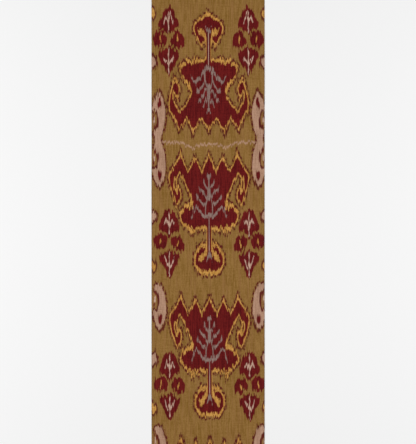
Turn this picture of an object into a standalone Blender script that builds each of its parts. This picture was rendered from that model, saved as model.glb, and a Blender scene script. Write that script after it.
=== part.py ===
"""A length of hand-woven warp ikat, one loom width across, lying flat.

The sheet lies in the XY plane with the warp along Y and the weft along X. Its
underside is at Z = 0 and the origin is under its middle. Metres, +Z up.
"""

import math

import bpy

# Driving dimensions
LOOM_WIDTH = 0.400          # selvedge to selvedge
PATTERN_REPEAT = 0.505      # one motif of the dyed pattern, along the warp
REPEATS_IN_LENGTH = 3.25    # the cut length, in motifs
THICKNESS = 0.0012
CORNER_RADIUS = 0.0015      # a cut corner is never quite sharp
EDGE_ROUNDING = 0.0004      # selvedges and cut ends have a soft arris

CORNER_STEPS = 4
ROUNDING_STEPS = 3
DYED_COLOUR = (0.229, 0.095, 0.037, 1.0)  # gold, madder and yellow, seen from afar
ROUGHNESS = 0.62


def clear_scene():
    for obj in list(bpy.data.objects):
        bpy.data.objects.remove(obj, do_unlink=True)


def collection_for(name):
    collection = bpy.data.collections.new(name)
    bpy.context.scene.collection.children.link(collection)
    return collection


def silk_material():
    material = bpy.data.materials.new("ikat_silk")
    material.use_nodes = True
    shader = material.node_tree.nodes["Principled BSDF"]
    shader.inputs["Base Color"].default_value = DYED_COLOUR
    shader.inputs["Roughness"].default_value = ROUGHNESS
    shader.inputs["Metallic"].default_value = 0.0
    return material


def sheet_outline(width, length, radius):
    """The corners of a rectangle, each one a short arc, anticlockwise from the lower right."""
    points = []
    for corner, (side_x, side_y) in enumerate(((1, -1), (1, 1), (-1, 1), (-1, -1))):
        centre_x = side_x * (width / 2 - radius)
        centre_y = side_y * (length / 2 - radius)
        for step in range(CORNER_STEPS + 1):
            angle = math.radians(90 * (corner - 1 + step / CORNER_STEPS))
            points.append((centre_x + radius * math.cos(angle), centre_y + radius * math.sin(angle)))
    return points


def make_cloth(collection):
    outline = sheet_outline(LOOM_WIDTH, PATTERN_REPEAT * REPEATS_IN_LENGTH, CORNER_RADIUS)
    curve = bpy.data.curves.new("cloth", "CURVE")
    curve.dimensions = "2D"
    curve.fill_mode = "BOTH"
    curve.extrude = THICKNESS / 2
    spline = curve.splines.new("POLY")
    spline.points.add(len(outline) - 1)
    for point, (x, y) in zip(spline.points, outline):
        point.co = (x, y, 0.0, 1.0)
    spline.use_cyclic_u = True
    curve.materials.append(silk_material())

    cloth = bpy.data.objects.new("cloth", curve)
    cloth.location.z = THICKNESS / 2
    collection.objects.link(cloth)

    # The curve's flat faces are loose from its rim until they are welded.
    weld = cloth.modifiers.new("weld", "WELD")
    weld.merge_threshold = 0.00001
    rounding = cloth.modifiers.new("rounding", "BEVEL")
    rounding.width = EDGE_ROUNDING
    rounding.segments = ROUNDING_STEPS
    rounding.limit_method = "ANGLE"
    rounding.angle_limit = math.radians(60)
    return cloth


clear_scene()
make_cloth(collection_for("ikat_woven_cloth"))
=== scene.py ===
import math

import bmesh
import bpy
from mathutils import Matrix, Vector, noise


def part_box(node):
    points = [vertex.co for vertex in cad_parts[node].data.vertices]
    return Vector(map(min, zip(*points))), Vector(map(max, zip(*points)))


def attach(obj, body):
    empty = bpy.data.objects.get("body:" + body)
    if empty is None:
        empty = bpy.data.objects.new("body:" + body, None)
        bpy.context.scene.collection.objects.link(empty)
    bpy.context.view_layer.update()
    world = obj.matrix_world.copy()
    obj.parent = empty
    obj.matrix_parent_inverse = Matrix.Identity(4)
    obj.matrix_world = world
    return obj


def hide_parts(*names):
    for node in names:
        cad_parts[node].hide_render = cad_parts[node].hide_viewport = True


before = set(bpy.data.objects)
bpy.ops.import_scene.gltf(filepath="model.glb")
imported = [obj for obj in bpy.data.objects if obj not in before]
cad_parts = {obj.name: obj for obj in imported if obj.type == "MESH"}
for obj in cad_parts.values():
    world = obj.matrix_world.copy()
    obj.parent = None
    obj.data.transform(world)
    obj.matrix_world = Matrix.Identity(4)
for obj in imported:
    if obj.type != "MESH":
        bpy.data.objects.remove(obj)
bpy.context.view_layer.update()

# The looks of a flat length of warp ikat, built on its imported solid: one thin sheet of
# cloth, whose pattern is drawn by the material's nodes alone. It is drawn the way ikat is
# dyed. Each bundle of warp threads carries its own stretch of the drawing, slipped a
# little along its length, so edges that cross the warp are feathered and edges that run
# with it stay sharp.

# The chart. The motifs are charted on squares, as a weaver would note them, and a
# place on the chart is (squares across from the motif's axis, squares along from its top).
SQUARE = 0.00354
REPEAT = 142.7
MIRROR_LINE = 81.0          # squares above the cloth's middle; motifs beyond it are turned
ABOVE_TOP = 6.0             # squares of a repeat that lie above its top
AXIS_AT_MIDDLE = 0.98       # the motifs' axis wanders a little off the cloth's own middle
AXIS_DRIFT = -0.0036
FEATHER = 0.7               # outlines are this much narrower across the warp than along it
OUTLINE = 1.05              # how far the yellow reaches past the red
STEM_OUTLINE = 0.6          # the same at a stem
DARK_EDGE = 2.0             # how far the broken dark line reaches past the yellow or the pink
YELLOW_POINT = (0.4, 1.0)   # radius of a crown point at its tip and at its foot
DARK_POINT = (0.6, 1.1)
CROSS_MARGIN = 0.5          # a bud's pink cross stays this far inside the bud

# The weave
WARP_PITCH = 0.00036
WEFT_PITCH = 0.00095
THICK_PLACE = 0.012         # how far a thick or thin place reaches along a weft
WEFT_CHANGE = 0.4           # how much of such a place's noise passes from weft to weft
WEFT_SHIFT = 2.4            # how many wefts it shifts the ribs by
RIB_HEIGHT = 0.7            # of the whole height, the rest being the fine warp's
WEAVE_RELIEF = 0.00008
PAINTED_GROOVE_SHADE = 0.18         # painted shade: how much darker the colour is made in the grooves than on top of the ribs
ROUGHNESS = 0.5
PALE_ROUGHNESS = 0.12       # more roughness where a dye came out lighter
SHEEN = 0.1

# Bundles of threads that are bound and dyed together, in squares. The warp was folded to be
# dyed, so a bundle lies on both sides of the axis, and a side bundle on one side only
BUNDLE = 1.25
SIDE_BUNDLE = 0.95

# Noise in the dyeing. columns: rate of change across, for a bundle, a thread or a square,
# rate along, for a square, strength
SLIP = (7.31, 0.035, 8.0)
SIDE_SLIP = (5.13, 0.05, 5.5)
BUNDLE_STREAKS = (3.3, 0.06, 2.0)
SLUBS = (0.08, 1.3, 0.9)
FLECKS = (1.1, 0.5, 1.2)

# Noise that is taken as it comes. columns: rate across, rate along, detail
THREAD_STREAKS = (3.3, 0.05, 1.0)
DASHES = (0.7, 0.3, 0.0)
BLUSH = (2.7, 0.02, 2.0)

# What the noise does
BUNDLE_JUMP = 1.6           # squares that one side bundle may lie off the next
THREAD_JUMP = 1.0
BUD_SLIP = 0.3              # share of the side bundles' slip that the buds have on top
ZIGZAG_SLIP = 0.75          # share of the slip that the mirror line has
DASH_LIMITS = (0.50, 0.42)  # noise where a dark line is whole and where it is at its faintest
FAINT_DASH = 0.25
BLUSH_LIMITS = (0.65, 0.5)  # noise where the blush is full and where it ends
BLUSH_STRENGTH = 0.35

# The sheet
CLOTH_THICKNESS = 0.0007
LIFT = 0.0005               # how far its gentle unevenness raises it off the floor
WAVES = (7.0, 4.0, 0.0)     # change of that noise for a metre across and along, its start
RIPPLES = (16.0, 9.0, 3.0)
RIPPLE_SHARE = 0.4
GRID_ACROSS = 48
GRID_ALONG = 200
MAP_GAP = 0.005             # margin round each half on the map, on which 1 is MAP_SIZE long
MAP_RIM = 0.0015            # width of the strip there that the rim has to itself
MAP_SIZE = 0.832

# The camera looks straight down
CAMERA_LENS = 0.100
SENSOR = 0.036
SQUARES_IN_FRAME = 444      # from the top of its picture to the bottom
FRAME_MIDDLE = (-0.0004, 0.0)
MILLIMETRES = 1000          # in a metre, as cameras are set in millimetres

# Dyes as linear colours, each one the darker and the lighter of its uneven take
GOLD = ((0.218, 0.108, 0.017), (0.326, 0.174, 0.048))
GOLD_BLUSH = (0.300, 0.142, 0.050)
RED = ((0.088, 0.001, 0.002), (0.165, 0.008, 0.007))
YELLOW = ((0.410, 0.180, 0.030), (0.680, 0.360, 0.085))
BROWN = ((0.080, 0.006, 0.004), (0.135, 0.018, 0.010))
GREY = ((0.205, 0.130, 0.108), (0.315, 0.212, 0.180))
PINK = ((0.375, 0.207, 0.130), (0.525, 0.310, 0.208))
PINK_BRIGHT = ((0.420, 0.250, 0.180), (0.660, 0.440, 0.330))
OLIVE = ((0.225, 0.100, 0.026), (0.350, 0.180, 0.062))
# Black, the colour of the painted shade in the weave's grooves
PAINTED_SHADE_BLACK = (0.0, 0.0, 0.0)

# Sockets of a mix node that blends colours
MIX_SHARE = 0
MIX_BELOW = 6
MIX_ABOVE = 7
MIX_RESULT = 2


class Sheet:
    """Writes nodes into one tree. Each method returns the socket that holds its result."""

    def __init__(self, tree):
        self.tree = tree

    def node(self, kind, inputs=(), output=0, **settings):
        made = self.tree.nodes.new(kind)
        for name, value in settings.items():
            setattr(made, name, value)
        for key, value in dict(inputs).items():
            self.feed(made.inputs[key], value)
        return made.outputs[output]

    def feed(self, socket, value):
        if isinstance(value, bpy.types.NodeSocket):
            self.tree.links.new(value, socket)
        else:
            socket.default_value = value

    def math(self, operation, *values):
        return self.node("ShaderNodeMath", enumerate(values), operation=operation)

    def clamped(self, value):
        return self.node("ShaderNodeClamp", {"Value": value})

    def vector(self, operation, *values, output=0):
        return self.node("ShaderNodeVectorMath", enumerate(values), output, operation=operation)

    def scaled(self, vector, factor):
        return self.node("ShaderNodeVectorMath", {0: vector, "Scale": factor}, operation="SCALE")

    def dot(self, first, second):
        return self.vector("DOT_PRODUCT", first, second, output="Value")

    def length(self, vector):
        return self.vector("LENGTH", vector, output="Value")

    def point(self, x, y, z=0.0):
        return self.node("ShaderNodeCombineXYZ", enumerate((x, y, z)))

    def use(self, group, inputs):
        made = self.tree.nodes.new("ShaderNodeGroup")
        made.node_tree = group
        for key, value in inputs.items():
            self.feed(made.inputs[key], value)
        return made.outputs

    def least(self, *values):
        result = values[0]
        for value in values[1:]:
            result = self.math("MINIMUM", result, value)
        return result

    def fade(self, value, start, end):
        """1 where value is at start, 0 where it is at end, smooth between."""
        inputs = {"Value": value, "From Min": start, "From Max": end, "To Min": 1.0, "To Max": 0.0}
        return self.node("ShaderNodeMapRange", inputs, interpolation_type="SMOOTHSTEP", clamp=False)

    def noise(self, x, y, detail=1.0):
        """Smooth noise around 0.5 that changes over about one unit of x and y."""
        inputs = {"Vector": self.point(x, y), "Scale": 1.0, "Detail": detail}
        return self.node("ShaderNodeTexNoise", inputs, noise_dimensions="2D")

    def random(self, number):
        return self.node("ShaderNodeTexWhiteNoise", {"W": number}, noise_dimensions="1D")

    def times(self, value, factor):
        return self.math("MULTIPLY", value, factor)

    def spread(self, value, amount):
        """Noise around 0.5 made into noise around 0, this many times as strong."""
        return self.math("MULTIPLY_ADD", value, amount, -0.5 * amount)

    def waves(self, across, along, rate_across, rate_along, detail=1.0):
        """Noise around 0.5 that changes at these rates."""
        return self.noise(self.times(across, rate_across), self.times(along, rate_along), detail)

    def uneven(self, across, along, rate_across, rate_along, strength):
        """Noise around 0 that changes at these rates."""
        return self.spread(self.waves(across, along, rate_across, rate_along), strength)

    def blend(self, share, below, above):
        made = self.tree.nodes.new("ShaderNodeMix")
        made.data_type = "RGBA"
        self.feed(made.inputs[MIX_SHARE], share)
        for socket, colour in ((MIX_BELOW, below), (MIX_ABOVE, above)):
            is_plain = not isinstance(colour, bpy.types.NodeSocket)
            self.feed(made.inputs[socket], (*colour, 1.0) if is_plain else colour)
        return made.outputs[MIX_RESULT]


def new_group(name, vectors, floats, gives):
    """A node group that takes these vectors and floats and gives these floats."""
    tree = bpy.data.node_groups.new(name, "ShaderNodeTree")
    for wanted in vectors:
        tree.interface.new_socket(wanted, in_out="INPUT", socket_type="NodeSocketVector")
    for wanted in floats:
        tree.interface.new_socket(wanted, in_out="INPUT", socket_type="NodeSocketFloat")
    for wanted in gives:
        tree.interface.new_socket(wanted, in_out="OUTPUT", socket_type="NodeSocketFloat")
    entry = tree.nodes.new("NodeGroupInput")
    return Sheet(tree), entry.outputs


def give(sheet, **results):
    exit_node = sheet.tree.nodes.new("NodeGroupOutput")
    for name, socket in results.items():
        sheet.feed(exit_node.inputs[name], socket)


ALONG = (0.0, 1.0, 0.0)
UP = (0.0, 0.0, 1.0)


def line_parts(sheet, taken):
    """(the way from start to end, the way from start to here, share of the line, distance)"""
    step = sheet.vector("SUBTRACT", taken["end"], taken["start"])
    away = sheet.vector("SUBTRACT", taken["place"], taken["start"])
    share = sheet.clamped(sheet.math("DIVIDE", sheet.dot(away, step), sheet.dot(step, step)))
    off = sheet.vector("SUBTRACT", away, sheet.scaled(step, share))
    return step, away, share, sheet.length(off)


def edge_group():
    """One edge of an outline. It brings near down to its own distance, and flips inside
    (0 or 1) where it lies straight across from the place, on its right."""
    floats = ("near", "inside")
    sheet, taken = new_group("edge", ("place", "start", "end"), floats, floats)
    step, away, _, distance = line_parts(sheet, taken)
    near = sheet.math("MINIMUM", taken["near"], distance)
    along = sheet.dot(step, ALONG)
    slanted = sheet.scaled(step, sheet.math("DIVIDE", 1.0, along))
    leftward = sheet.vector("CROSS_PRODUCT", UP, slanted)
    left_of_it = sheet.math("GREATER_THAN", sheet.dot(away, leftward), 0.0)
    half = sheet.times(sheet.math("ABSOLUTE", along), 0.5)
    beside_it = sheet.math("COMPARE", sheet.dot(away, ALONG), sheet.times(along, 0.5), half)
    crossed = sheet.math("MULTIPLY", beside_it, left_of_it)
    inside = sheet.math("ABSOLUTE", sheet.math("SUBTRACT", taken["inside"], crossed))
    give(sheet, near=near, inside=inside)
    return sheet.tree


def stroke_group():
    """One length of a brush stroke, whose radius changes evenly from its start to its end."""
    floats = ("start radius", "end radius", "near")
    sheet, taken = new_group("stroke", ("place", "start", "end"), floats, ("near",))
    _, _, share, distance = line_parts(sheet, taken)
    taper = sheet.math("SUBTRACT", taken["start radius"], taken["end radius"])
    rim = sheet.math("SUBTRACT", distance, taken["start radius"])
    own = sheet.math("MULTIPLY_ADD", share, taper, rim)
    give(sheet, near=sheet.math("MINIMUM", taken["near"], own))
    return sheet.tree


FAR = 999.0
EDGE = edge_group()
STROKE = stroke_group()


def squeezed(across, along):
    """A chart point in the space where distances are measured."""
    return (across, along * FEATHER, 0.0)


class Place:
    """Where a drawing is worked out, in squares across and along. Its methods give signed
    distances in squares, below 0 inside a shape."""

    def __init__(self, sheet, across, along):
        self.sheet = sheet
        self.across = across
        self.along = along
        self.vector = sheet.point(across, sheet.times(along, FEATHER))

    def folded_at(self, axis):
        """The same place measured from another axis, with both its sides alike."""
        away = self.sheet.math("SUBTRACT", self.across, axis)
        return Place(self.sheet, self.sheet.math("ABSOLUTE", away), self.along)

    def outline(self, corners, closed=False):
        """Distance to a shape. An open outline starts and ends on the axis."""
        near, inside = FAR, 0.0
        ends = corners[1:] + corners[:1] if closed else corners[1:]
        for start, end in zip(corners, ends):
            inputs = {"place": self.vector, "start": squeezed(*start), "end": squeezed(*end)}
            near, inside = self.sheet.use(EDGE, {**inputs, "near": near, "inside": inside})
        sign = self.sheet.math("MULTIPLY_ADD", inside, -2.0, 1.0)
        return self.sheet.math("MULTIPLY", near, sign)

    def strokes(self, brushwork):
        """Distance to brush strokes, each a list of stations (across, along, radius)."""
        near = FAR
        for stations in brushwork:
            for start, end in zip(stations, stations[1:]):
                inputs = {
                    "place": self.vector,
                    "start": squeezed(*start[:2]),
                    "end": squeezed(*end[:2]),
                    "start radius": start[2],
                    "end radius": end[2],
                    "near": near,
                }
                near = self.sheet.use(STROKE, inputs)[0]
        return near

    def oval(self, centre, radii):
        """Nearly the distance to an oval."""
        sheet = self.sheet
        away = sheet.vector("SUBTRACT", self.vector, squeezed(*centre))
        scaled = sheet.vector("MULTIPLY", away, (1 / radii[0], 1 / (radii[1] * FEATHER), 0.0))
        rim = sheet.math("SUBTRACT", sheet.length(scaled), 1.0)
        return sheet.times(rim, min(radii[0], radii[1] * FEATHER))


# The upright motif. Outlines have (across, along), from the crown down, for the right half,
# and brush strokes have stations (across, along, radius). Body, bulb, stem and slits are
# red, and the core is a pale line inside the stem
UPRIGHT = {
    "body": [
        (0, 15.5), (3.5, 24), (7.5, 32.5), (10, 25.5), (12.5, 21), (14.5, 19), (17, 25),
        (21.3, 30.5), (25, 24), (28.4, 15.5), (31.5, 21.5), (34.7, 26), (38.6, 33), (39.4, 38),
        (37.9, 45.5), (35.3, 54), (33.3, 61), (32, 63.3), (30, 60), (28.8, 56), (28.7, 51.5),
        (29.7, 48.3), (31.5, 51.8), (34, 51), (35.6, 46.5), (35.6, 42), (34.8, 38), (32, 35),
        (29.2, 30.2), (25.3, 38), (22, 44.5), (18.8, 51.5), (16.6, 58.5), (15.7, 63), (16.3, 66.3),
        (20.5, 66.5), (25, 69.3), (28.2, 73.3), (28.2, 78), (25, 82), (19.5, 85), (14, 86.3),
        (10, 85.5), (0, 85.5),
    ],
    "bulb": [
        (3.4, 104.5), (6.5, 106.7), (9.3, 107.6), (11.2, 109.7), (12.8, 113.5), (13.6, 117.5),
        (13.6, 123.5), (12, 125), (10, 127.3), (9, 129), (-1, 129), (-1, 111.5), (2.2, 111.5),
        (3.9, 114.5), (5.4, 118), (8.2, 122.6), (9.8, 121), (11, 118), (10.5, 115.3), (8.3, 114.6),
        (6.3, 112), (4.4, 109.3),
    ],
    "stem": [(0, 85, 2.0), (0, 113, 2.0)],
    "slits": [[(33.9, 42, 0.3), (33.8, 46.8, 0.4)]],
    "core": [[(0, 92, 0.1), (0, 109, 0.3)]],
    # columns: across, along of the dark point, of the yellow one and of the red one
    "crown points": [(0, 9, 12, 15.5), (14.5, 12, 15, 19), (28.3, 8.5, 11.5, 15.5)],
    "yellow": [
        [(3, 87, 0.7), (6.5, 88.6, 1), (9.5, 87.2, 0.5), (12.5, 87.6, 0.8)],
        [(12.5, 87.6, 0.8), (16, 89, 0.7), (17.6, 91, 0.9)],
        [(17.6, 90, 1), (20.5, 86.8, 0.9), (24.5, 83.8, 0.8), (27.8, 80.3, 0.7), (29.2, 77, 0.4)],
        [(4.2, 101.9, 0.7), (8, 104, 0.8), (11.2, 107, 0.7)],
        [(14.2, 112, 0.5), (14.5, 118, 0.6), (14.5, 123, 0.6)],
        [(12.8, 126.5, 0.9), (10.6, 129.3, 0.9), (8.5, 131.2, 1.1), (0, 131.2, 1)],
        [(7, 131.5, 1), (7, 133, 0.6)],
        [(2.6, 101, 0.4), (2.8, 109, 0.4), (4.8, 113, 0.6), (8, 117.2, 1.4), (8.3, 120.5, 0.8)],
        [(17.2, 60, 0.8), (18.6, 63.3, 1.6), (22.5, 65.2, 1.3), (26, 68, 0.9), (29.3, 73, 0.6)],
        [(32.6, 38, 0.5), (32.7, 42, 0.5), (31.8, 46, 0.7), (30.3, 47.3, 0.6)],
        [(32.3, 48.3, 1.1), (33.3, 50, 1)],
    ],
    "dark": [
        [(10, 90, 0.5), (11.3, 93, 0.9)],
        [(15.8, 93.8, 0.6), (16.3, 95.5, 0.6)],
        [(13.2, 129, 0.8), (11.3, 132, 0.7)],
        [(26.6, 51.5, 0.4), (26.5, 58, 0.5)],
        [(30.2, 63.3, 0.5), (31, 66, 0.4)],
        [(33.3, 23, 0.5), (35.6, 27.5, 0.6), (37.8, 31.5, 0.4)],
    ],
    "grey": [
        [(0, 34.8, 1.5), (0.6, 35.2, 1.5)],
        [(0, 36, 0.6), (0, 45, 0.6), (0, 48.5, 1.5), (0, 57.5, 1.6)],
        [(1.6, 57.5, 0.7), (3.4, 64.5, 0.5), (3.6, 74, 0.4)],
        [(0, 76.2, 1.2), (4, 76, 1.1), (7.2, 73.3, 1.1), (9.8, 69.5, 0.5)],
        [(9.8, 69.5, 0.5), (12, 65.6, 0.8), (15.4, 69.5, 0.6), (17.7, 77, 0.4)],
        [(3.4, 64.8, 0.6), (6, 62.8, 1.2), (8.2, 61.3, 0.7), (10.2, 57.3, 0.4)],
        [(10.2, 57.3, 0.4), (11.9, 56, 1), (12, 53.5, 0.4)],
        [(1.7, 57.5, 0.7), (4, 53.5, 0.6), (6, 50.8, 1.2), (8.3, 50.3, 0.6), (10, 45.5, 0.3)],
        [(1, 47.5, 0.7), (3, 44.2, 0.6), (4.7, 41.8, 0.9), (5, 38, 0.3)],
        [(0, 76, 0.4), (0, 111, 0.4)],
        [(0, 111, 0.5), (0.6, 113.5, 0.9), (2.5, 119.3, 0.4)],
    ],
}

# The turned motif differs a little: deeper valleys, a crescent opening, a pointed bulb
TURNED = {
    "body": [
        (0, 12.6), (2.5, 17), (7.7, 23), (11, 18.5), (15.6, 11), (18.5, 16), (22.3, 25), (25.5, 18),
        (29.8, 14), (32.5, 18.5), (33.3, 22.5), (35.8, 27), (38.5, 31), (39.2, 37.5), (38, 46),
        (36.3, 52.5), (34.5, 58.8), (32.5, 58), (30.3, 55.5), (29.6, 51), (31, 46.8), (32.4, 47),
        (33.7, 50.8), (35.6, 50), (36.2, 47), (36.3, 42), (34.5, 38), (32.3, 33), (29.6, 28.3),
        (24.7, 33.5), (18.8, 41.5), (16.4, 47), (17.2, 52), (18.8, 57), (23, 60.8), (26.5, 65),
        (28, 70), (27.5, 74.5), (22.5, 77), (12, 78.3), (0, 79.5),
    ],
    "bulb": [
        (-1, 125), (3.4, 124), (6.4, 121.7), (9, 120.2), (11.9, 118.5), (13.4, 115.5), (13.9, 112),
        (13.4, 108), (10.9, 103), (8.9, 99), (7.4, 97.8), (5.4, 99), (3.9, 101), (3.8, 103),
        (4.9, 105), (6.6, 106), (8.4, 106), (10.2, 109), (11.2, 112), (8, 111.6), (5.2, 112),
        (4.3, 110), (3, 107.5), (2.4, 104), (-1, 104),
    ],
    "stem": [(0, 78, 2.0), (0, 111, 2.0)],
    "slits": [[(33.6, 42.5, 0.3), (34, 47.5, 0.4)]],
    "core": [[(0, 76, 0.3), (0, 108, 0.35)]],
    "crown points": [(0, 6.5, 9.5, 12.6), (15.8, 2, 6, 11), (30, 8, 11, 14)],
    "yellow": [
        [(3, 80.8, 0.7), (7, 80.6, 0.8), (12, 81, 1), (16, 79.6, 0.8)],
        [(16, 79.6, 0.8), (21, 79.8, 1), (25.5, 77.8, 0.8), (29, 74.8, 0.5)],
        [(6.6, 96, 1), (6.5, 94.3, 0.5)],
        [(14.4, 108.5, 0.5), (14.4, 115, 0.4)],
        [(13, 118.5, 0.6), (8, 122.3, 0.9), (3.5, 125.8, 1), (0, 126.8, 1)],
        [(2.6, 95, 0.4), (2.9, 104.5, 0.4), (4.8, 107.8, 0.9), (7.6, 109, 1.3)],
        [(18.2, 50, 0.8), (19.5, 55, 0.9), (23.5, 58.8, 0.9)],
        [(33.6, 50, 0.5), (31.8, 45, 0.7), (31, 41.5, 0.8)],
        [(31.5, 59, 0.6), (34.3, 64.3, 0.5)],
        [(35.6, 61.5, 0.5), (35.8, 57.5, 0.4)],
    ],
    "dark": [
        [(26.7, 47.8, 0.4), (26.6, 52.5, 0.5)],
        [(28.9, 60, 0.5), (29.3, 62.5, 0.5)],
        [(34.8, 63.5, 0.5), (35, 60.5, 0.4)],
        [(17.3, 6.5, 0.8), (20, 15.5, 0.9), (21.8, 20, 0.5)],
        [(27, 12.5, 0.8), (29.5, 8.5, 0.9)],
        [(6.9, 93.5, 0.5), (6.8, 90.8, 0.6)],
    ],
    "grey": [
        [(0, 30.3, 1.4), (0.8, 30.3, 1.3)],
        [(0, 31, 0.6), (0, 41, 0.7), (0, 44, 1.5), (0, 54, 1.5)],
        [(1.5, 42.5, 0.6), (4.3, 37, 0.7), (5.5, 33.5, 0.4)],
        [(2.4, 51.5, 0.6), (6.3, 44.3, 0.8), (9.4, 39.7, 1.1)],
        [(1.9, 55, 0.9), (3.6, 60, 0.6), (4, 69, 0.8)],
        [(3.7, 60, 0.5), (5.2, 55.4, 0.6), (7.3, 52, 0.7), (10.6, 50, 1.6)],
        [(0, 72.8, 1.3), (3, 71.5, 1.3), (5.3, 67.6, 0.9), (8, 63.3, 1), (12.2, 60, 1.4)],
        [(12.2, 60, 1.4), (15.2, 60.5, 0.7), (17.3, 64.7, 0.4)],
        [(0, 74, 0.4), (0, 108.5, 0.4)],
        [(0, 108.5, 0.6), (1.2, 111.3, 0.9), (2.8, 113.5, 0.4)],
    ],
}

# Buds beside the motif. The upper and lower bud are right halves, from their own axis
BUD_AXIS = 39.9
UPRIGHT_BUDS = {
    "upper": [
        (0, 69), (4, 69.5), (6, 73), (8.5, 79), (10.5, 85), (10, 90), (5, 91), (2.5, 94.5),
        (0, 98.5),
    ],
    "lower": [
        (0, 110), (5, 110.5), (6.5, 113), (10.5, 113.5), (10, 119), (7.5, 123.5), (5.5, 127),
        (4, 130.5), (1.5, 136.5), (0, 139),
    ],
    "inner": [
        (29.5, 94.5), (35.5, 95.5), (38.5, 100), (38, 104.5), (34, 107.5), (32, 110), (25, 109),
        (24.5, 103), (27, 98),
    ],
    "outer": ((48.8, 100.2), (7.2, 7.7)),
    "crosses": [
        [(0, 72.5, 0.2), (0, 75.5, 0.7), (0, 79.5, 0.1), (0, 85, 1.1)],
        [(0, 85, 1.1), (0, 88.5, 0.1), (0, 93, 0.7)],
        [(0.4, 84.5, 0.7), (2.8, 78.9, 0.6), (4.8, 83.5, 0.4)],
        [(0, 113.5, 0.3), (0, 116, 0.7), (0, 120.5, 0.1), (0, 125, 1)],
        [(0, 125, 1), (0, 129, 0.1), (0, 133.5, 0.7)],
        [(0.5, 126, 0.9), (2.9, 122.2, 0.5), (4.8, 115.2, 0.3)],
    ],
    "spots": [
        [(30.6, 99.8, 0.3), (31.3, 102, 0.9), (32, 104.5, 0.4)],
        [(48.5, 98.5, 0.3), (48.7, 100.5, 0.9), (49.2, 103, 0.4)],
    ],
}
TURNED_BUDS = {
    "upper": [
        (0, 64.5), (1.5, 67), (3, 70), (4.5, 73), (7, 77), (9, 81.5), (10.5, 86), (10, 89.5),
        (5, 91.5), (2.5, 93.5), (0, 94),
    ],
    "lower": [
        (0, 106.5), (2.5, 109), (4.5, 111), (10, 112), (10.5, 117), (8.5, 122), (6.5, 127),
        (4.5, 131), (1.5, 134.5), (0, 135),
    ],
    "inner": [
        (29, 109.5), (34.5, 108), (37.5, 102.5), (38.5, 97.5), (34.5, 95), (32, 92.5), (24, 93.5),
        (24, 100), (25.5, 104.5),
    ],
    "outer": ((48.6, 101.8), (7.2, 8.2)),
    "crosses": [
        [(0, 67.5, 0.2), (0, 70.5, 0.7), (0, 74.5, 0.2), (0, 79, 1)],
        [(0, 79, 1), (0, 83, 0.2), (0, 89.5, 0.8)],
        [(0.4, 79, 0.8), (3.2, 79.3, 0.8), (5, 83.5, 0.3)],
        [(0, 109, 0.5), (0, 111, 0.8), (0, 115, 0.2), (0, 121.5, 0.9)],
        [(0, 121.5, 0.9), (0, 126, 0.1), (0, 129.5, 0.7)],
        [(0.4, 121.5, 0.7), (2.4, 124.7, 0.6), (4.6, 118.5, 0.4)],
    ],
    "spots": [
        [(31, 99, 0.4), (31, 100.5, 0.9), (31, 102, 0.4)],
        [(48.4, 99.5, 0.3), (48, 102.5, 0.8), (47.8, 105, 0.3)],
    ],
}

# At the selvedges: a paisley, and the inner halves of two drops. Ovals have a centre and
# two radii. The rims are solid dark lines, round the paisley's head and round each drop
PAISLEY = [
    (49, 0.5), (47, 4), (45.5, 8), (44.3, 14), (43.4, 22), (43.3, 28.5), (44.3, 33), (45.4, 37.5),
    (47, 41.5), (49, 44), (50.8, 44.2), (52.4, 42), (54.2, 38), (55.6, 33), (57, 29), (54, 26.5),
    (51.2, 23), (50, 18), (50.3, 12), (52, 9), (54.6, 6.5), (55, 3), (53.5, 0.5),
]
PAISLEY_RIM = [
    [(54, 39, 0.5), (51.8, 44.6, 0.8), (49, 47, 1), (46, 43.5, 0.8), (44.6, 39, 0.5)],
]
PAISLEY_DROP = ((49.2, 34.5), (2.1, 4.6))
PAISLEY_CURL = [
    [(55.6, 7, 0.6), (53, 9.8, 0.8), (51.2, 13.5, 0.9), (50.8, 18.5, 1), (51.3, 23, 0.9)],
    [(51.3, 23, 0.9), (53, 26.3, 0.9), (55.8, 26, 0.7)],
]
PAISLEY_CURL_FILL = ((55.2, 16.8), (4.1, 9.5))
PAISLEY_CURL_SPOTS = [[(55.2, 20.5, 0.7), (55.4, 23, 0.6)], [(53.4, 12, 0.5), (54.2, 10, 0.5)]]
PAISLEY_CURL_GLINT = [[(54.4, 14.5, 0.7), (54.6, 17.5, 0.9)]]
PAISLEY_JOIN = [[(51, -3, 2.9), (51, 3, 2.9)]]  # across the mirror line
DROP_PINK = ((57, 75.5), (4.3, 5))
DROP_YELLOW = ((56.8, 124.4), (3.5, 4.4))
DROP_RIMS = (((57, 76), (5.6, 7.4)), ((56.8, 124), (4.9, 7.4)))
TURNED_EDGE_SLIP = 3.0      # squares further along that the turned selvedge motifs lie

# The pale line along the mirror line, from paisley to paisley, for its right half
ZIGZAG = [
    (0, 2.6, 0.65), (4, 3.2, 0.65), (8, 4.5, 0.7), (12, 3.8, 0.6), (17, 6.5, 0.7),
    (20.5, 4.4, 0.6), (27, 2.2, 0.7), (35, 1.4, 0.7), (46, 0.8, 0.8),
]


def drawing_group(name, gives):
    """A group for a part of the drawing: it takes a place on the chart and gives distances."""
    sheet, taken = new_group(name, (), ("across", "along"), gives)
    return sheet, Place(sheet, taken["across"], taken["along"])


def spike(across, tip, foot, radii):
    """A brush stroke along the warp, with a radius at its tip and one at its foot."""
    return [(across, tip, radii[0]), (across, foot, radii[1])]


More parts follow.
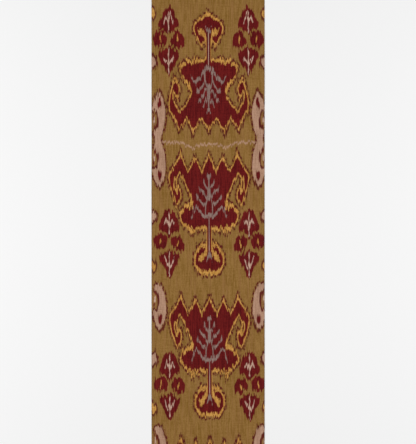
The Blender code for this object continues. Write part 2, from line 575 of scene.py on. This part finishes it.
def central_motif(name, chart):
    sheet, place = drawing_group(name, ("red", "yellow", "dark", "tips", "grey", "core"))
    points = chart["crown points"]
    yellow_points = [spike(across, tip, foot, YELLOW_POINT) for across, _, tip, foot in points]
    dark_points = [spike(across, tip, foot, DARK_POINT) for across, tip, foot, _ in points]
    shape = sheet.least(place.outline(chart["body"]), place.outline(chart["bulb"], closed=True))
    strokes = place.strokes(chart["yellow"] + yellow_points)
    outline = sheet.least(sheet.math("SUBTRACT", shape, OUTLINE), strokes)
    stem = place.strokes([chart["stem"]])
    yellow = sheet.least(outline, sheet.math("SUBTRACT", stem, STEM_OUTLINE))
    dark = sheet.math("SUBTRACT", outline, DARK_EDGE)
    tips = place.strokes(chart["dark"] + dark_points)
    red = sheet.least(shape, stem, place.strokes(chart["slits"]))
    grey = place.strokes(chart["grey"])
    core = place.strokes(chart["core"])
    give(sheet, red=red, yellow=yellow, dark=dark, tips=tips, grey=grey, core=core)
    return sheet.tree


def bud_column(name, chart):
    sheet, place = drawing_group(name, ("red", "pink", "yellow"))
    folded = place.folded_at(BUD_AXIS)
    buds = sheet.least(folded.outline(chart["upper"]), folded.outline(chart["lower"]))
    sides = sheet.least(place.outline(chart["inner"], closed=True), place.oval(*chart["outer"]))
    red = sheet.least(buds, sides)
    within = sheet.math("ADD", buds, CROSS_MARGIN)
    pink = sheet.math("MAXIMUM", folded.strokes(chart["crosses"]), within)
    give(sheet, red=red, pink=pink, yellow=place.strokes(chart["spots"]))
    return sheet.tree


def selvedge_column():
    outputs = ("rim", "pink", "red", "curl", "fill", "glint", "yellow")
    sheet, place = drawing_group("selvedge", outputs)
    rim = sheet.least(place.strokes(PAISLEY_RIM), *(place.oval(*drop) for drop in DROP_RIMS))
    pink = sheet.least(place.outline(PAISLEY, closed=True), place.oval(*DROP_PINK))
    red = sheet.least(place.oval(*PAISLEY_DROP), place.strokes(PAISLEY_CURL_SPOTS))
    curl = place.strokes(PAISLEY_CURL)
    fill = place.oval(*PAISLEY_CURL_FILL)
    glint = place.strokes(PAISLEY_CURL_GLINT)
    yellow = place.oval(*DROP_YELLOW)
    give(sheet, rim=rim, pink=pink, red=red, curl=curl, fill=fill, glint=glint, yellow=yellow)
    return sheet.tree


class Warp:
    """Where a point of the cloth lies, in squares from its middle and from the motifs' axis,
    and which bundle and thread it is on."""

    def __init__(self, sheet, on_cloth):
        self.x = sheet.dot(on_cloth, (1 / SQUARE, 0.0, 0.0))
        self.y = sheet.dot(on_cloth, (0.0, 1 / SQUARE, 0.0))
        axis = sheet.math("MULTIPLY_ADD", self.y, AXIS_DRIFT, AXIS_AT_MIDDLE)
        self.across = sheet.math("ABSOLUTE", sheet.math("SUBTRACT", self.x, axis))
        self.from_mirror = sheet.math("SUBTRACT", MIRROR_LINE, self.y)
        self.turned = sheet.math("LESS_THAN", self.from_mirror, 0.0)
        self.bundle = sheet.math("FLOOR", sheet.times(self.across, 1 / BUNDLE))
        self.side_bundle = sheet.math("FLOOR", sheet.times(self.x, 1 / SIDE_BUNDLE))
        self.thread = sheet.math("FLOOR", sheet.times(self.x, SQUARE / WARP_PITCH))


def slips(sheet, warp):
    """(how far a thread has slipped in all, how much of that is its side bundle's own)"""
    shared = sheet.uneven(warp.bundle, warp.y, *SLIP)
    own = sheet.uneven(warp.side_bundle, warp.y, *SIDE_SLIP)
    own = sheet.math("ADD", own, sheet.spread(sheet.random(warp.side_bundle), BUNDLE_JUMP))
    of_thread = sheet.spread(sheet.random(warp.thread), THREAD_JUMP)
    return sheet.math("ADD", sheet.math("ADD", shared, own), of_thread), own


def uneven_take(sheet, warp):
    """0 where a dye came out darker to 1 where it came out lighter."""
    bundles = sheet.uneven(warp.side_bundle, warp.y, *BUNDLE_STREAKS)
    slubs = sheet.uneven(warp.x, warp.y, *SLUBS)
    flecks = sheet.uneven(warp.x, warp.y, *FLECKS)
    threads = sheet.waves(warp.thread, warp.y, *THREAD_STREAKS)
    uneven = sheet.math("ADD", sheet.math("ADD", bundles, slubs), flecks)
    return sheet.clamped(sheet.math("ADD", uneven, threads))


def drawing(sheet, warp):
    """The distances to all that is drawn: motif, buds, selvedge, mirror line and paisley."""
    slip, side_slip = slips(sheet, warp)
    slipped = sheet.math("ADD", sheet.math("ABSOLUTE", warp.from_mirror), slip)
    wrapped = sheet.math("FLOORED_MODULO", sheet.math("ADD", slipped, ABOVE_TOP), REPEAT)
    along = sheet.math("SUBTRACT", wrapped, ABOVE_TOP)

    def either(upright_group, turned_group, along):
        """The distances of one group or the other, by the side of the mirror line."""
        upright_outputs = sheet.use(upright_group, {"across": warp.across, "along": along})
        turned_outputs = sheet.use(turned_group, {"across": warp.across, "along": along})
        picked = {}
        for output in upright_outputs:
            step = sheet.math("SUBTRACT", turned_outputs[output.name], output)
            picked[output.name] = sheet.math("MULTIPLY_ADD", warp.turned, step, output)
        return picked

    motif = either(central_motif("motif", UPRIGHT), central_motif("turned_motif", TURNED), along)
    upright_buds = bud_column("buds", UPRIGHT_BUDS)
    turned_buds = bud_column("turned_buds", TURNED_BUDS)
    looser = sheet.math("MULTIPLY_ADD", side_slip, BUD_SLIP, along)
    buds = either(upright_buds, turned_buds, looser)
    edge_along = sheet.math("MULTIPLY_ADD", warp.turned, -TURNED_EDGE_SLIP, along)
    selvedge = sheet.use(selvedge_column(), {"across": warp.across, "along": edge_along})
    mirror_along = sheet.math("MULTIPLY_ADD", slip, ZIGZAG_SLIP, warp.from_mirror)
    at_mirror = Place(sheet, warp.across, mirror_along)
    zigzag = at_mirror.strokes([ZIGZAG])
    paisley = sheet.least(selvedge["pink"], at_mirror.strokes(PAISLEY_JOIN))
    return motif, buds, selvedge, zigzag, paisley


def dyed(sheet, warp, take):
    """The cloth's colour: the ground, then one dye over another."""
    dashes = sheet.waves(warp.across, warp.y, *DASHES)
    blush = sheet.waves(warp.side_bundle, warp.y, *BLUSH)
    motif, buds, selvedge, zigzag, paisley = drawing(sheet, warp)
    blushing = sheet.times(sheet.fade(blush, *BLUSH_LIMITS), BLUSH_STRENGTH)
    colour = sheet.blend(blushing, sheet.blend(take, *GOLD), GOLD_BLUSH)
    whole = sheet.fade(dashes, *DASH_LIMITS)
    dash = sheet.math("MULTIPLY_ADD", whole, 1.0 - FAINT_DASH, FAINT_DASH)
    paisley_edge = sheet.math("SUBTRACT", paisley, DARK_EDGE)
    red = sheet.least(motif["red"], buds["red"])
    # columns: distance, dye, how soft its edge is, strength
    layers = (
        (motif["dark"], BROWN, 0.4, dash),
        (motif["tips"], BROWN, 0.3, 0.85),
        (paisley_edge, BROWN, 0.3, dash),
        (selvedge["rim"], BROWN, 0.5, 0.9),
        (motif["yellow"], YELLOW, 0.3, 1.0),
        (selvedge["yellow"], YELLOW, 0.3, 1.0),
        (red, RED, 0.3, 1.0),
        (motif["grey"], GREY, 0.3, 1.0),
        (motif["core"], PINK_BRIGHT, 0.3, 0.75),
        (buds["pink"], PINK_BRIGHT, 0.3, 1.0),
        (buds["yellow"], YELLOW, 0.3, 1.0),
        (zigzag, PINK, 0.5, 0.9),
        (paisley, PINK, 0.3, 1.0),
        (selvedge["fill"], OLIVE, 0.4, 1.0),
        (selvedge["glint"], PINK_BRIGHT, 0.4, 1.0),
        (selvedge["curl"], BROWN, 0.5, 1.0),
        (selvedge["red"], RED, 0.4, 1.0),
    )
    for distance, dye, softness, strength in layers:
        share = sheet.fade(distance, -softness, softness)
        share = sheet.math("MULTIPLY", share, strength)
        colour = sheet.blend(share, colour, sheet.blend(take, *dye))
    return colour


def ikat_silk():
    material = bpy.data.materials.new("ikat_silk")
    material.use_nodes = True
    tree = material.node_tree
    tree.nodes.clear()
    sheet = Sheet(tree)
    on_cloth = sheet.node("ShaderNodeTexCoord", output="Object")
    warp = Warp(sheet, on_cloth)
    take = uneven_take(sheet, warp)
    colour = dyed(sheet, warp, take)
    weave = woven_height(sheet, on_cloth)
    # Painted shade: the colour is darkened towards black in the weave's grooves, where the ribs
    # would shade it
    painted_groove_shade = sheet.math("MULTIPLY_ADD", weave, -PAINTED_GROOVE_SHADE, PAINTED_GROOVE_SHADE)
    roughness = sheet.math("MULTIPLY_ADD", take, PALE_ROUGHNESS, ROUGHNESS)
    bump = sheet.node("ShaderNodeBump", {"Height": weave, "Distance": WEAVE_RELIEF})
    look = {
        "Base Color": sheet.blend(painted_groove_shade, colour, PAINTED_SHADE_BLACK),
        "Roughness": roughness,
        "Specular IOR Level": SHEEN,
        "Normal": bump,
    }
    shader = sheet.node("ShaderNodeBsdfPrincipled", look)
    out = tree.nodes.new("ShaderNodeOutputMaterial")
    sheet.feed(out.inputs["Surface"], shader)
    return material


def woven_height(sheet, on_cloth):
    """0 in the grooves to 1 on top: round ribs over uneven wefts, with the fine warp on them."""
    wefts = sheet.dot(on_cloth, (0.0, 1 / WEFT_PITCH, 0.0))
    places = sheet.dot(on_cloth, (1 / THICK_PLACE, 0.0, 0.0))
    unevenness = sheet.noise(places, sheet.times(wefts, WEFT_CHANGE), 0.0)
    wefts = sheet.math("ADD", wefts, sheet.spread(unevenness, WEFT_SHIFT))
    warps = sheet.dot(on_cloth, (1 / WARP_PITCH, 0.0, 0.0))
    ribs = sheet.math("ABSOLUTE", sheet.math("SINE", sheet.times(wefts, math.pi)))
    stagger = sheet.times(sheet.math("FLOOR", wefts), 0.5)
    across = sheet.times(sheet.math("ADD", warps, stagger), math.pi)
    threads = sheet.math("ABSOLUTE", sheet.math("SINE", across))
    height = sheet.math("MULTIPLY_ADD", threads, 1.0 - RIB_HEIGHT, RIB_HEIGHT)
    return sheet.math("MULTIPLY", ribs, height)


def lift(x, y):
    """How far the sheet rests above the floor, between 0 and LIFT."""

    def unevenness(across, along, start):
        return noise.noise(Vector((x * across, y * along, start)))

    height = 0.5 + unevenness(*WAVES) + RIPPLE_SHARE * unevenness(*RIPPLES)
    return LIFT * min(max(height, 0.0), 1.0)


def spaced(low, high, steps):
    return [low + (high - low) * step / steps for step in range(steps + 1)]


def border():
    """(row, column, way out of the sheet there) for each edge of the grid, anticlockwise."""
    bottom = [(0, column, (0, -1)) for column in range(GRID_ACROSS)]
    right = [(row, GRID_ACROSS, (1, 0)) for row in range(GRID_ALONG)]
    top = [(GRID_ALONG, column, (0, 1)) for column in range(GRID_ACROSS, 0, -1)]
    left = [(row, 0, (-1, 0)) for row in range(GRID_ALONG, 0, -1)]
    return bottom + right + top + left


def sheet_mesh(low, high):
    """A closed thin sheet. Its map lays its two halves side by side, with the upper and
    lower face on one another, as both have the same pattern, and the rim around them."""
    shape = bmesh.new()
    on_map = shape.loops.layers.uv.new("OFBake")
    columns = spaced(low.x, high.x, GRID_ACROSS)
    rows = spaced(low.y, high.y, GRID_ALONG)
    under = [[shape.verts.new((x, y, low.z + lift(x, y))) for x in columns] for y in rows]
    rise = Vector((0.0, 0.0, CLOTH_THICKNESS))
    upper = [[shape.verts.new(vertex.co + rise) for vertex in row] for row in under]

    def add_face(corners, outward, smooth):
        """corners: (vertex, whether it lies out on the rim's own strip of the map)"""
        face = shape.faces.new([vertex for vertex, _ in corners])
        face.smooth = smooth
        middle = face.calc_center_median()
        second_half = middle.y > (low.y + high.y) / 2
        for loop, (vertex, is_out) in zip(face.loops, corners):
            u = vertex.co.x - low.x + MAP_GAP + outward[0] * is_out * MAP_RIM
            v = vertex.co.y - low.y + MAP_GAP + outward[1] * is_out * MAP_RIM
            if second_half:
                u += high.x - low.x + 2 * MAP_GAP
                v -= (high.y - low.y) / 2
            loop[on_map].uv = (u / MAP_SIZE, v / MAP_SIZE)

    for row in range(GRID_ALONG):
        for column in range(GRID_ACROSS):
            square = ((row, column), (row, column + 1), (row + 1, column + 1), (row + 1, column))
            add_face([(upper[r][c], 0) for r, c in square], (0, 0), True)
            add_face([(under[r][c], 0) for r, c in reversed(square)], (0, 0), True)
    edges = border()
    for (row, column, outward), (next_row, next_column, _) in zip(edges, edges[1:] + edges[:1]):
        corners = [(under[row][column], 1), (under[next_row][next_column], 1)]
        corners += [(upper[next_row][next_column], 0), (upper[row][column], 0)]
        add_face(corners, outward, False)

    mesh = bpy.data.meshes.new("ikat_cloth")
    shape.to_mesh(mesh)
    shape.free()
    return mesh


def make_cloth():
    low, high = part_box("cloth")
    mesh = sheet_mesh(low, high)
    mesh.materials.append(ikat_silk())
    cloth = bpy.data.objects.new("ikat_cloth", mesh)
    bpy.context.scene.collection.objects.link(cloth)
    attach(cloth, "root")
    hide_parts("cloth")


FLOOR_SIZE = 14.0
FLOOR_DROP = 0.0001         # below the sheet, so that their faces don't meet
FLOOR_COLOUR = (0.93, 0.93, 0.93, 1.0)
FLOOR_ROUGHNESS = 0.9


def make_floor():
    bpy.ops.mesh.primitive_plane_add(size=FLOOR_SIZE, location=(0, 0, -FLOOR_DROP))
    floor = bpy.context.object
    floor.name = "floor"
    material = bpy.data.materials.new("pale_floor")
    material.use_nodes = True
    shader = material.node_tree.nodes["Principled BSDF"]
    shader.inputs["Base Color"].default_value = FLOOR_COLOUR
    shader.inputs["Roughness"].default_value = FLOOR_ROUGHNESS
    shader.inputs["Specular IOR Level"].default_value = 0.0
    floor.data.materials.append(material)


# The lamps. columns: side (-1 left, 1 right), share of the light
LAMPS = ((-1, 0.52), (1, 0.48))
LAMP_SIZE = 3.0
LAMP_REACH = 3.4
LAMP_HEIGHT = 2.8
LAMP_POWER = 215.0
DOME_STRENGTH = 0.35


def make_light():
    world = bpy.data.worlds.new("studio")
    bpy.context.scene.world = world
    world.use_nodes = True
    background = world.node_tree.nodes["Background"]
    background.inputs["Color"].default_value = (1.0, 1.0, 1.0, 1.0)
    background.inputs["Strength"].default_value = DOME_STRENGTH
    for side, share in LAMPS:
        data = bpy.data.lights.new("soft_lamp", "AREA")
        data.shape = "SQUARE"
        data.size = LAMP_SIZE
        data.energy = LAMP_POWER * share
        lamp = bpy.data.objects.new("soft_lamp", data)
        lamp.location = (side * LAMP_REACH, 0.0, LAMP_HEIGHT)
        lamp.rotation_euler = (-Vector(lamp.location)).to_track_quat("-Z", "Y").to_euler()
        bpy.context.scene.collection.objects.link(lamp)
    bpy.context.scene.view_settings.view_transform = "Standard"


def make_camera():
    data = bpy.data.cameras.new("camera")
    data.sensor_width = SENSOR * MILLIMETRES
    data.lens = CAMERA_LENS * MILLIMETRES
    camera = bpy.data.objects.new("camera", data)
    frame_height = SQUARES_IN_FRAME * SQUARE
    camera.location = (*FRAME_MIDDLE, frame_height * CAMERA_LENS / SENSOR)
    bpy.context.scene.collection.objects.link(camera)
    bpy.context.scene.camera = camera


make_camera()
make_floor()
make_light()
make_cloth()
